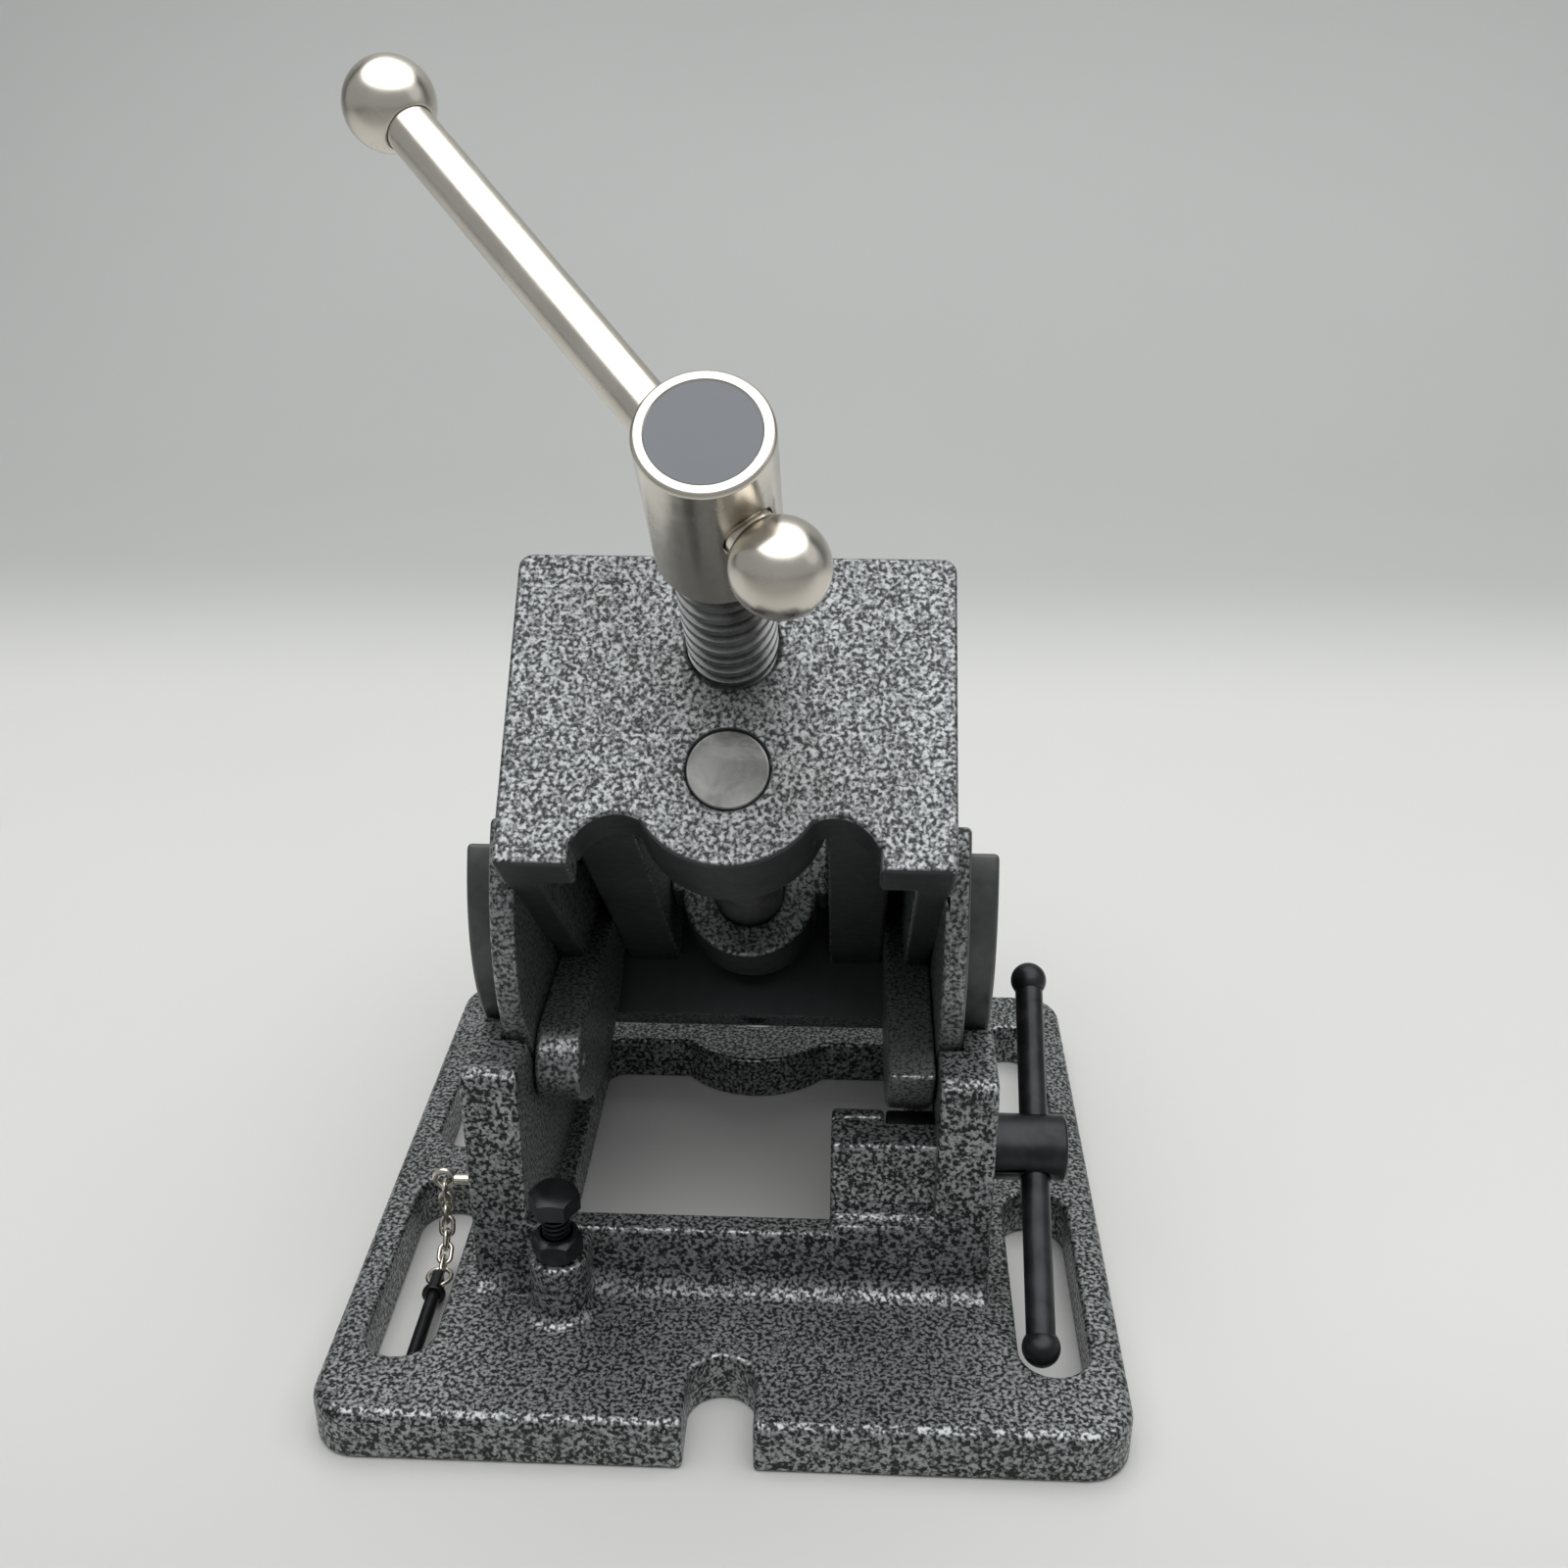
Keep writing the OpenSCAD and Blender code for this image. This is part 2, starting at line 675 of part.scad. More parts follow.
module jaw_screw_places() {
    for (x = [-1, 1]) translate([x * jaw_screw_pitch / 2, 0, jaw_mid_z]) children();
}

module vise_body() {
    color(paint) on_vise() difference() {
        union() {
            translate([0, plate_front + plate_t, 0]) rotate([90, 0, 0])
                linear_extrude(plate_t) end_plate_outline();
            rod_y(plate_front, plate_front + lobe_l, lobe_r);
            translate([0, 0, screw_z]) rod_y(plate_front + over, plate_front + lobe_l, nut_boss_r);
            both_sides() bed_side();
            trunnion(0);
            mirror([1, 0, 0]) trunnion(flange_nose_r);
            far_wall();
        }
        rod_y(plate_front - over, far_out + over, rod_r + fit);
        translate([0, 0, screw_z]) rod_y(plate_front - over, plate_front + lobe_l + over, screw_r + fit);
        jaw_screw_places() rod_y(far_in - over, far_in + jaw_screw_depth, jaw_screw_r + fit);
        translate([0, (far_in + far_out) / 2, -far_drop - over])
            cylinder(r = set_screw_r + fit, h = far_drop + over);
        rotate([tilt, 0, 0]) for (a = [-45, 0, 45]) rotate([a, 0, 0]) translate([0, 0, -pin_hole_out])
            rod_x(-slide_x - over, -flange_in + over, pin_r + fit);
    }
}

module guide_rod() {
    color(steel) on_vise() rod_y(plate_front, far_out - over, rod_r);
}

module rod_set_screw() {
    color(black_oxide) on_vise() translate([0, (far_in + far_out) / 2, -far_drop + over])
        cylinder(r = set_screw_r, h = far_drop - over - rod_r - fit);
}

// A jaw plate between two faces, with its countersunk holes
module jaw_plate(back, face) {
    difference() {
        box([-jaw_w / 2, min(back, face), bed_z + gap], [jaw_w / 2, max(back, face), jaw_top]);
        jaw_screw_places() {
            rod_y(min(back, face) - over, max(back, face) + over, jaw_screw_r + fit);
            jaw_screw_cone(face, sign(back - face), fit);
        }
    }
}

// The cone of a countersunk head, its wide end just under the plate's face
module jaw_screw_cone(face, way, room) {
    head_h = jaw_screw_head_r - jaw_screw_r;
    translate([0, face, 0]) rotate([-90 * way, 0, 0]) {
        translate([0, 0, head_sink - room])
            cylinder(r1 = jaw_screw_head_r + room, r2 = jaw_screw_r + room, h = head_h + room);
        if (room > 0) translate([0, 0, -over]) cylinder(r = jaw_screw_head_r + room, h = over + head_sink);
    }
}

module jaw_screws(face, way) {
    jaw_screw_places() {
        jaw_screw_cone(face, way, 0);
        translate([0, face, 0]) rotate([-90 * way, 0, 0]) translate([0, 0, head_sink + over])
            cylinder(r = jaw_screw_r, h = jaw_plate_t + jaw_screw_depth - head_sink - 2 * over);
    }
}

module fixed_jaw_plate() {
    color(steel) on_vise() jaw_plate(far_in, fixed_face);
}

module fixed_jaw_screws() {
    color(black_oxide) on_vise() jaw_screws(fixed_face, 1);
}

module moving_jaw() {
    color(paint) on_vise() difference() {
        union() {
            box([-jaw_w / 2, jaw_back, bed_z + gap], [jaw_w / 2, jaw_front, jaw_top]);
            box([-rail_gap + tongue_play, jaw_back, 0], [rail_gap - tongue_play, jaw_front, bed_z + over]);
            rod_y(boss_back, boss_front, jaw_boss_r);
            box([-jaw_boss_r, boss_back, 0], [jaw_boss_r, boss_front, bed_z - over]);
        }
        rod_y(boss_back - over, boss_front + over, rod_r + fit);
        translate([0, 0, screw_z]) rod_y(jaw_back - over, screw_seat + fit, journal_r + fit);
        jaw_screw_places() rod_y(jaw_front - jaw_screw_depth, jaw_front + over, jaw_screw_r + fit);
        retainer_places() cylinder(r = retainer_r + fit, h = retainer_l);
    }
}

module retainer_places() {
    for (x = [-1, 1]) translate([x * retainer_x, retainer_y, retainer_low]) children();
}

module moving_jaw_plate() {
    color(steel) on_vise() jaw_plate(jaw_front, moving_face);
}

module moving_jaw_screws() {
    color(black_oxide) on_vise() jaw_screws(moving_face, -1);
}

module screw_retaining_pins() {
    color(steel) on_vise() retainer_places() cylinder(r = retainer_r, h = retainer_l);
}

module lead_screw() {
    color(black_oxide) on_vise() translate([0, 0, screw_z]) difference() {
        union() {
            rod_y(hub_end + over, hub_foot + over, spigot_r);
            rod_y(hub_foot, jaw_back - gap, screw_r);
            rod_y(jaw_back - over, retainer_y - retainer_r - fit, journal_r);
            rod_y(retainer_y - retainer_r - over, retainer_y + retainer_r + over, journal_r - groove_depth);
            rod_y(retainer_y + retainer_r + fit, screw_seat, journal_r);
        }
        handle_line() cylinder(r = bar_r + fit, h = 4 * hub_r, center = true);
    }
}

// Turns its children from along Z to along the handle bar, from the screw's axis
module handle_line() {
    translate([0, bar_y, 0]) rotate([0, 90 - bar_angle, 0]) children();
}

module spindle_hub() {
    color(nickel) on_vise() translate([0, 0, screw_z]) difference() {
        rod_y(hub_end, hub_foot - fit, hub_r);
        rod_y(hub_end - over, hub_foot + over, spigot_r + fit);
        handle_line() cylinder(r = bar_r + fit, h = 4 * hub_r, center = true);
    }
}

module handle_bar() {
    color(nickel) on_vise() translate([0, 0, screw_z]) handle_line()
        translate([0, 0, -ball_near - ball_r + ball_socket])
            cylinder(r = bar_r, h = bar_l + 2 * (ball_r - ball_socket));
}

// A ball on the bar, with the socket that takes the bar's end
module handle_ball(place) {
    color(nickel) on_vise() translate([0, 0, screw_z]) handle_line() difference() {
        translate([0, 0, place]) sphere(ball_r);
        translate([0, 0, -ball_near - ball_r + ball_socket - fit])
            cylinder(r = bar_r + fit, h = bar_l + 2 * (ball_r - ball_socket + fit));
    }
}

module handle_ball_upper() {
    handle_ball(ball_far);
}

module handle_ball_lower() {
    handle_ball(-ball_near);
}

base_casting();
stop_bolt();
stop_lock_nut();
chain_anchor();
chain();
pin_ring();
lock_pin();
lock_shaft();
lock_bar();
lock_bar_knobs();
vise_body();
guide_rod();
rod_set_screw();
fixed_jaw_plate();
fixed_jaw_screws();
moving_jaw();
moving_jaw_plate();
moving_jaw_screws();
screw_retaining_pins();
lead_screw();
spindle_hub();
handle_bar();
handle_ball_upper();
handle_ball_lower();
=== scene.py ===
"""Looks of a tilting drill press vise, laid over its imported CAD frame.

Castings get soft edges and hammertone enamel, turned pieces get bevels and plating, and the
screws get their threads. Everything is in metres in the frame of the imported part.
"""
import json
import math

import bmesh
import bpy
from bpy.props import FloatProperty, FloatVectorProperty, IntProperty, PointerProperty
from mathutils import Matrix, Vector

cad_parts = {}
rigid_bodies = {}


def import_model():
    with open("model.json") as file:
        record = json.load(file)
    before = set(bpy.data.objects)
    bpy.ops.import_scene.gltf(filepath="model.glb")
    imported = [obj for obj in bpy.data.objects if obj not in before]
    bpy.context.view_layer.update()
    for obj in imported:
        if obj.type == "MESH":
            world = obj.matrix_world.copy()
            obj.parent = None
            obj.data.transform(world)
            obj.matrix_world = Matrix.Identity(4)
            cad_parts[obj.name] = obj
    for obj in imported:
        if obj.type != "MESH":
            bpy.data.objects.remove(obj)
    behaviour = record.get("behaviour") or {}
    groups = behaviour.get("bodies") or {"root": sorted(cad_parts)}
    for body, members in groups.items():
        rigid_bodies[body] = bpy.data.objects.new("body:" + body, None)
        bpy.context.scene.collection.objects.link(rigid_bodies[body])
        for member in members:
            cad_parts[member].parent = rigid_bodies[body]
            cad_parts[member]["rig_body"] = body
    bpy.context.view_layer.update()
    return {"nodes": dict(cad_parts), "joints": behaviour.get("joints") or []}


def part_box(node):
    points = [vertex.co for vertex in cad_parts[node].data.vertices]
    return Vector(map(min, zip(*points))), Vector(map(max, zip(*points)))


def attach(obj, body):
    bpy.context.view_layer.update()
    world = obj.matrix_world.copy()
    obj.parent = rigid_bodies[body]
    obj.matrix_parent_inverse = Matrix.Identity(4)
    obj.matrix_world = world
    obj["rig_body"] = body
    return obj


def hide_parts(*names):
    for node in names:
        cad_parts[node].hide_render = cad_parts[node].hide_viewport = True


bl_info = {
    "name": "Tilting Drill Press Vise",
    "version": (1, 0, 0),
    "blender": (4, 5, 0),
    "location": "View3D > Sidebar > Vise",
    "description": "Finishes a tilting drill press vise around its CAD frame",
    "category": "Object",
}

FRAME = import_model()
JOINTS = {joint["name"]: joint for joint in FRAME["joints"]}
MM = 0.001
# Distance at which the loose corners of a CAD node are merged
WELD = 2e-6
# Radius of the chamfer on a bolt head or nut, as a share of its width across flats
CHAMFER = 0.47
# Places of the castings' finishes in their list of materials; the plain dark iron also serves as painted
# shade
ENAMEL, IRON_AND_SHADE, RING = range(3)


def size(name, description, default, low=0.0, high=1.0):
    """A length in metres that a user may change."""
    return FloatProperty(name=name, description=description, default=default, min=low, max=high,
                         precision=5, subtype="DISTANCE", unit="LENGTH")


def colour(name, description, default):
    """A linear colour that a user may change."""
    return FloatVectorProperty(name=name, description=description, default=default, size=3,
                               min=0.0, max=1.0, subtype="COLOR")


def share(name, description, default):
    """A factor from 0 to 1 that a user may change."""
    return FloatProperty(name=name, description=description, default=default, min=0.0, max=1.0,
                         subtype="FACTOR")


def number(name, description, default, low, high):
    """A plain number that a user may change."""
    return FloatProperty(name=name, description=description, default=default, min=low, max=high)


def angle(name, description, degrees):
    """An angle that a user may change."""
    return FloatProperty(name=name, description=description, default=math.radians(degrees), subtype="ANGLE")


class VisePaint(bpy.types.PropertyGroup):
    """Hammertone enamel of the castings"""

    # The base's ground is darker than the body's: painted shade on the same paint
    base_ground_shaded: colour("Base ground", "Charcoal ground on the base", (0.005, 0.0062, 0.0066))
    base_light: colour("Base flecks", "Silver flecks on the base", (0.395, 0.412, 0.415))
    body_dark: colour("Body ground", "Charcoal ground on the body and jaw", (0.028, 0.031, 0.032))
    body_light: colour("Body flecks", "Silver flecks on the body and jaw", (0.375, 0.39, 0.39))
    fleck: size("Fleck size", "Mean size of one fleck", 0.72 * MM, 0.2 * MM, 4 * MM)
    relief: size("Relief", "Height of the enamel's dimples", 0.05 * MM, 0, 0.5 * MM)
    roughness: share("Roughness", "Roughness of the enamel", 0.42)
    base_bare: share("Base bare", "Level of the noise below which the base's ground stays bare", 0.42)
    body_bare: share("Body bare", "Level of the noise below which the body's ground stays bare", 0.38)


class ViseMetal(bpy.types.PropertyGroup):
    """Bare and plated metals"""

    nickel: colour("Nickel", "Polished nickel plate", (0.66, 0.62, 0.55))
    steel: colour("Steel", "Ground and turned steel", (0.19, 0.19, 0.186))
    # The milled colour is also painted shade on the body's far end wall
    milled_and_shade: colour("Milled iron", "Plain dark faces of the castings", (0.05, 0.054, 0.056))
    ring_tone_shaded: colour("Worn rings", "Dark machined rings of the trunnions", (0.085, 0.089, 0.088))
    # The rings' dark tone is partly painted shade
    oxide: colour("Black oxide", "Blackened fasteners", (0.026, 0.027, 0.029))
    thread: colour("Thread", "Oiled thread of the lead screw", (0.2, 0.2, 0.2))
    plug: colour("Hub disc", "Flat disc in the hub's end", (0.148, 0.156, 0.168))


class ViseForm(bpy.types.PropertyGroup):
    """Edges and threads that the CAD leaves plain"""

    cast_round: size("Cast edges", "Radius along the castings' edges", 0.9 * MM, 0.1 * MM, 3 * MM)
    turned_round: size("Turned edges", "Radius along the turned edges", 0.4 * MM, 0.05 * MM, 1 * MM)
    pitch: size("Thread pitch", "Advance of the lead screw in a turn", 4 * MM, 1 * MM, 8 * MM)
    depth: size("Thread depth", "Depth of the lead screw's thread", 1.7 * MM, 0.5 * MM, 3 * MM)
    bolt_pitch: size("Bolt pitch", "Advance of the stop bolt in a turn", 1 * MM, 0.5 * MM, 2 * MM)
    steps: IntProperty(name="Steps", description="Steps in a turn of thread", default=40, min=12, max=96)


class ViseStage(bpy.types.PropertyGroup):
    """Floor, backdrop, lamps and camera"""

    floor: colour("Floor", "Pale floor", (0.74, 0.745, 0.73))
    wall: colour("Backdrop", "Grey backdrop behind the vise", (0.52, 0.53, 0.522))
    ceiling: number("Ceiling", "Power of the wide lamp above", 26, 0, 100)
    fill: number("Fill", "Power of the lamp at the right", 0.5, 0, 50)
    air: number("Air", "Strength of the even light", 0.03, 0, 5)
    pale: number("Pale", "Strength of the background that the camera and a gloss see", 0.4, 0, 1)
    lens: number("Lens", "Focal length in millimetres", 38.16, 10, 200)
    eye: FloatVectorProperty(name="Eye", description="Place of the camera", subtype="XYZ", unit="LENGTH",
                             default=(0.0201, -0.2718, 0.2238))
    down: angle("Down", "Slope of the view below level", 25.12)
    turn: angle("Turn", "Turn of the view to the left", 2.48)


def set_up(name):
    """The named group of settings on the scene."""
    return getattr(bpy.context.scene, "vise_" + name)


# Materials


class Nodes:
    """A material's node tree, with short calls to add and link nodes."""

    def __init__(self, name):
        self.material = bpy.data.materials.new(name)
        self.material.use_nodes = True
        self.tree = self.material.node_tree
        self.tree.nodes.clear()
        self.out = self.tree.nodes.new("ShaderNodeOutputMaterial")
        self.shader = self.tree.nodes.new("ShaderNodeBsdfPrincipled")
        self.link(self.shader.outputs[0], self.out.inputs["Surface"])
        self.place = self.tree.nodes.new("ShaderNodeTexCoord").outputs["Object"]

    def link(self, source, target):
        """Links an output to an input."""
        self.tree.links.new(source, target)

    def set(self, **values):
        """Sets the shader's plain sockets, with _ for a space."""
        for key, value in values.items():
            socket = self.shader.inputs[key.replace("_", " ")]
            self.feed(socket, value)

    def noise(self, scale, detail=2.0, distortion=0.0, rough=0.5, stretch=None):
        """Noise on the piece's own coordinates, or on ones that a (rotation, scale) pair stretches."""
        node = self.tree.nodes.new("ShaderNodeTexNoise")
        node.inputs["Scale"].default_value = scale
        node.inputs["Detail"].default_value = detail
        node.inputs["Distortion"].default_value = distortion
        node.inputs["Roughness"].default_value = rough
        where = self.place
        if stretch:
            mapping = self.tree.nodes.new("ShaderNodeMapping")
            mapping.inputs["Rotation"].default_value = stretch[0]
            mapping.inputs["Scale"].default_value = stretch[1]
            self.link(where, mapping.inputs["Vector"])
            where = mapping.outputs["Vector"]
        self.link(where, node.inputs["Vector"])
        return node.outputs["Fac"]

    def ramp(self, source, *stops):
        """A colour ramp with (place, colour or grey) stops."""
        node = self.tree.nodes.new("ShaderNodeValToRGB")
        ramp = node.color_ramp
        while len(ramp.elements) < len(stops):
            ramp.elements.new(0.5)
        for element, (at, value) in zip(ramp.elements, stops):
            element.position = at
            element.color = (*value, 1.0) if hasattr(value, "__len__") else (value, value, value, 1.0)
        self.link(source, node.inputs["Fac"])
        return node.outputs["Color"]

    def shades(self, source, base, dark, light, start=0.3, end=0.7):
        """A ramp between a darker and a lighter shade of one colour."""
        return self.ramp(source, (start, tuple(base * dark)), (end, tuple(base * light)))

    def fade(self, source, start, end, low=0.0):
        """A smooth rise from low to 1 between two values of a source."""
        node = self.tree.nodes.new("ShaderNodeMapRange")
        node.interpolation_type = "SMOOTHSTEP"
        node.inputs["From Min"].default_value = start
        node.inputs["From Max"].default_value = end
        node.inputs["To Min"].default_value = low
        self.link(source, node.inputs["Value"])
        return node.outputs["Result"]

    def mix(self, factor, first, second, mode="MIX"):
        """A mix of two colours, each a link or a plain colour."""
        node = self.tree.nodes.new("ShaderNodeMix")
        node.data_type = "RGBA"
        node.blend_type = mode
        for socket, value in ((node.inputs["Factor"], factor), (node.inputs["A"], first),
                              (node.inputs["B"], second)):
            self.feed(socket, value)
        return node.outputs["Result"]

    def feed(self, socket, value):
        """Gives an input a link, a colour or a number."""
        if isinstance(value, bpy.types.NodeSocket):
            self.link(value, socket)
        elif hasattr(value, "__len__"):
            socket.default_value = (*value, 1.0)
        else:
            socket.default_value = value

    def use(self, name, source):
        """Links a source to one of the shader's inputs."""
        self.link(source, self.shader.inputs[name])

    def bump(self, source, height):
        """Shades the surface as if a source raised it, up to a height."""
        node = self.tree.nodes.new("ShaderNodeBump")
        node.inputs["Distance"].default_value = height
        self.link(source, node.inputs["Height"])
        self.use("Normal", node.outputs["Normal"])


# Finishes made so far, by their functions
MADE = {}


def hammertone(name, dark, light, bare):
    """Silver flecks that creep over a charcoal ground."""
    paint = set_up("paint")
    full = 0.64
    made = Nodes(name)
    creep = made.noise(1.0 / paint.fleck, 1.2, 0.3, 0.5)
    fleck = made.ramp(creep, (bare, 0.0), (full, 1.0))
    thin = made.ramp(made.noise(70.0, 2.0), (0.3, 0.82), (0.7, 1.0))
    tone = made.mix(fleck, tuple(dark), tuple(light))
    tone = made.mix(1.0, tone, thin, "MULTIPLY")
    made.set(Coat_Weight=0.2, Coat_Roughness=0.25, Specular_IOR_Level=0.25)
    made.use("Base Color", tone)
    made.use("Metallic", made.ramp(creep, (bare, 0.1), (full, 0.75)))
    made.use("Roughness", made.ramp(creep, (0.35, paint.roughness + 0.08), (0.65, paint.roughness - 0.06)))
    made.bump(creep, paint.relief)
    return made.material


def base_enamel_shaded():
    """The base's coat, with a strong contrast; its ground, darker than the body's, is painted shade."""
    paint = set_up("paint")
    return hammertone("hammertone_base_shaded", paint.base_ground_shaded, paint.base_light, paint.base_bare)


def body_enamel():
    """The coat of the body and jaw, a little softer."""
    paint = set_up("paint")
    return hammertone("hammertone_body", paint.body_dark, paint.body_light, paint.body_bare)


def milled_iron_and_shade():
    """Plain dark faces, smooth with faint mottling; on the far end wall's inner face it is painted shade.
    """
    made = Nodes("plain_dark_iron_and_shade")
    base = Vector(set_up("metal").milled_and_shade)
    grain = made.noise(420.0, 3.0)
    cloud = made.noise(60.0, 2.0)
    made.set(Metallic=0.45)
    made.use("Base Color", made.shades(cloud, base, 0.75, 1.2))
    made.use("Roughness", made.ramp(grain, (0.3, 0.42), (0.7, 0.56)))
    made.bump(grain, 0.02 * MM)
    return made.material


def machined_ring_shaded():
    """Machined iron of the trunnion rings, faintly streaked; its dark tone is partly the iron's own and
    partly painted shade.
    """
    made = Nodes("machined_ring_shaded")
    base = Vector(set_up("metal").ring_tone_shaded)
    streak = made.noise(260.0, 3.0, 0.3)
    made.set(Metallic=0.6)
    made.use("Base Color", made.shades(streak, base, 0.8, 1.25))
    made.use("Roughness", made.ramp(streak, (0.3, 0.36), (0.7, 0.5)))
    made.bump(made.noise(900.0, 2.0), 0.008 * MM)
    return made.material


def turned_steel():
    """Bare steel with fine tool marks and a faint stain."""
    made = Nodes("turned_steel")
    base = Vector(set_up("metal").steel)
    stain = made.noise(140.0, 4.0, 0.6)
    marks = made.noise(900.0, 2.0, 0.0, 0.5, ((math.radians(45), 0, 0), (1.0, 6.0, 1.0)))
    made.set(Metallic=0.9)
    made.use("Base Color", made.shades(stain, base, 0.6, 1.3, 0.34, 0.62))
    made.use("Roughness", made.ramp(marks, (0.3, 0.3), (0.7, 0.46)))
    made.bump(marks, 0.008 * MM)
    return made.material


def nickel_plate():
    """Polished plate, a little warm, with faint ripples."""
    made = Nodes("nickel_plate")
    base = Vector(set_up("metal").nickel)
    ripple = made.noise(90.0, 2.0)
    haze = made.noise(300.0, 3.0)
    made.set(Metallic=1.0)
    made.use("Base Color", made.shades(ripple, base, 0.94, 1.04))
    made.use("Roughness", made.ramp(haze, (0.3, 0.2), (0.7, 0.28)))
    made.bump(ripple, 0.01 * MM)
    return made.material


def black_oxide():
    """Blackened steel, faintly mottled."""
    made = Nodes("black_oxide")
    base = Vector(set_up("metal").oxide)
    bloom = made.noise(220.0, 3.0, 0.4)
    made.set(Metallic=0.8)
    made.use("Base Color", made.shades(bloom, base, 0.75, 1.6))
    made.use("Roughness", made.ramp(bloom, (0.3, 0.3), (0.7, 0.42)))
    made.bump(made.noise(700.0, 2.0), 0.006 * MM)
    return made.material


def oiled_thread():
    """Dark steel of the lead screw, with a film of oil."""
    made = Nodes("oiled_thread")
    base = Vector(set_up("metal").thread)
    film = made.noise(180.0, 3.0, 0.3)
    made.set(Metallic=0.85)
    made.use("Base Color", made.shades(film, base, 0.7, 1.5))
    made.use("Roughness", made.ramp(film, (0.3, 0.22), (0.7, 0.34)))
    made.bump(made.noise(800.0, 2.0), 0.005 * MM)
    return made.material


def hub_disc():
    """Flat, faintly blue disc inside the hub's rim."""
    made = Nodes("hub_disc")
    base = Vector(set_up("metal").plug)
    cloud = made.noise(110.0, 3.0)
    made.set(Metallic=0.35)
    made.use("Base Color", made.shades(cloud, base, 0.94, 1.06))
    made.use("Roughness", made.ramp(cloud, (0.3, 0.4), (0.7, 0.5)))
    made.bump(made.noise(600.0, 2.0), 0.01 * MM)
    return made.material


def finish(maker):
    """A finish, made once and shared."""
    if maker not in MADE:
        MADE[maker] = maker()
    return MADE[maker]


# Shapes


def body_of(node):
    """The body that a CAD node rides on."""
    return FRAME["nodes"][node]["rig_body"]


def settle(shape, name, node, makers, smooth=35.0):
    """Turns a bmesh into a piece that rides on a node's body and stands for the node."""
    mesh = bpy.data.meshes.new(name)
    shape.to_mesh(mesh)
    shape.free()
    mesh.polygons.foreach_set("use_smooth", [True] * len(mesh.polygons))
    mesh.set_sharp_from_angle(angle=math.radians(smooth))
    for maker in makers:
        mesh.materials.append(finish(maker))
    piece = bpy.data.objects.new(name, mesh)
    bpy.context.scene.collection.objects.link(piece)
    weigh = piece.modifiers.new("face_weights", "WEIGHTED_NORMAL")
    weigh.keep_sharp = True
    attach(piece, body_of(node))
    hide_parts(node)


def copied(node):
    """A merged copy of a CAD node, with its flat faces whole again."""
    shape = bmesh.new()
    shape.from_mesh(FRAME["nodes"][node].data)
    bmesh.ops.remove_doubles(shape, verts=shape.verts, dist=WELD)
    nearly_flat = math.radians(0.4)
    bmesh.ops.dissolve_limit(shape, angle_limit=nearly_flat, verts=shape.verts, edges=shape.edges,
                             use_dissolve_boundaries=False, delimit={"NORMAL"})
    return shape


def soften(shape, width, segments=3, least=40.0, edges=None):
    """Rounds the sharp outer edges of a shape, or those of the given ones."""
    sharp = [edge for edge in edges or shape.edges if edge.is_manifold and edge.is_convex
             and math.degrees(edge.calc_face_angle()) > least]
    bmesh.ops.bevel(shape, geom=sharp, offset=width, offset_type="OFFSET", segments=segments, profile=0.5,
                    affect="EDGES", clamp_overlap=False, material=-1, loop_slide=True)
    bmesh.ops.remove_doubles(shape, verts=shape.verts, dist=WELD / 2)
    return shape


def frame_on(point, axis):
    """A frame whose Z lies along an axis and whose X lies near the part's own X."""
    z = axis.normalized()
    y = z.cross(Vector((1, 0, 0))).normalized()
    x = y.cross(z)
    turn = Matrix((x, y, z)).transposed().to_4x4()
    return Matrix.Translation(point) @ turn


def reach(node, point, axis):
    """The lowest and highest place of a node along an axis through a point."""
    places = [(vert.co - point).dot(axis) for vert in FRAME["nodes"][node].data.vertices]
    return min(places), max(places)


def screw_line():
    """A point on the lead screw's axis, and the axis, which runs from the handle to the jaws."""
    joint = JOINTS["screw_turn"]
    return Vector(joint["pos_m"]), Vector(joint["axis"])


def stop_line():
    """A frame on the stop bolt's upright axis, at the height of the table."""
    low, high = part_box("stop_bolt")
    return Matrix.Translation(((low.x + high.x) / 2, (low.y + high.y) / 2, 0))


def put_in(shape, before, turn):
    """Turns the normals of the faces that weren't there before outward, and puts those faces in a frame."""
    faces = [face for face in shape.faces if face not in before]
    bmesh.ops.recalc_face_normals(shape, faces=faces)
    bmesh.ops.transform(shape, matrix=turn, verts=list({vert for face in faces for vert in face.verts}))


def lathe(shape, outline, turn, index=0, steps=64):
    """Spins an outline of (radius, place) points round Z and puts it in a frame."""
    before = set(shape.faces)
    verts = [shape.verts.new((radius, 0.0, place)) for radius, place in outline]
    edges = [shape.edges.new(pair) for pair in zip(verts, verts[1:])]
    bmesh.ops.spin(shape, geom=verts + edges, cent=(0, 0, 0), axis=(0, 0, 1), angle=math.tau,
                   steps=steps, use_merge=True, use_duplicate=False)
    faces = [face for face in shape.faces if face not in before]
    for face in faces:
        face.material_index = index
    corners = {vert for face in faces for vert in face.verts}
    bmesh.ops.remove_doubles(shape, verts=list(corners), dist=WELD / 20)
    put_in(shape, before, turn)


def thread(shape, core, crest, low, high, pitch, turn, steps):
    """Winds a right-hand ridge of thread round Z between two places and puts it in a frame."""
    run_out = 0.8
    total = int(((high - low) / pitch - run_out) * steps)
    half_foot = 0.33 * pitch
    half_top = 0.19 * pitch
    middle = low + half_foot
    before = set(shape.faces)
    ring = [shape.verts.new(point) for point in (
        (core, 0, low), (crest, 0, middle - half_top), (crest, 0, middle + half_top),
        (core, 0, low + 2 * half_foot))]
    bmesh.ops.spin(shape, geom=[shape.faces.new(ring)], cent=(0, 0, 0), axis=(0, 0, 1),
                   angle=math.tau * total / steps, dvec=(0, 0, pitch / steps), steps=total,
                   use_merge=False, use_duplicate=False)
    put_in(shape, before, turn)


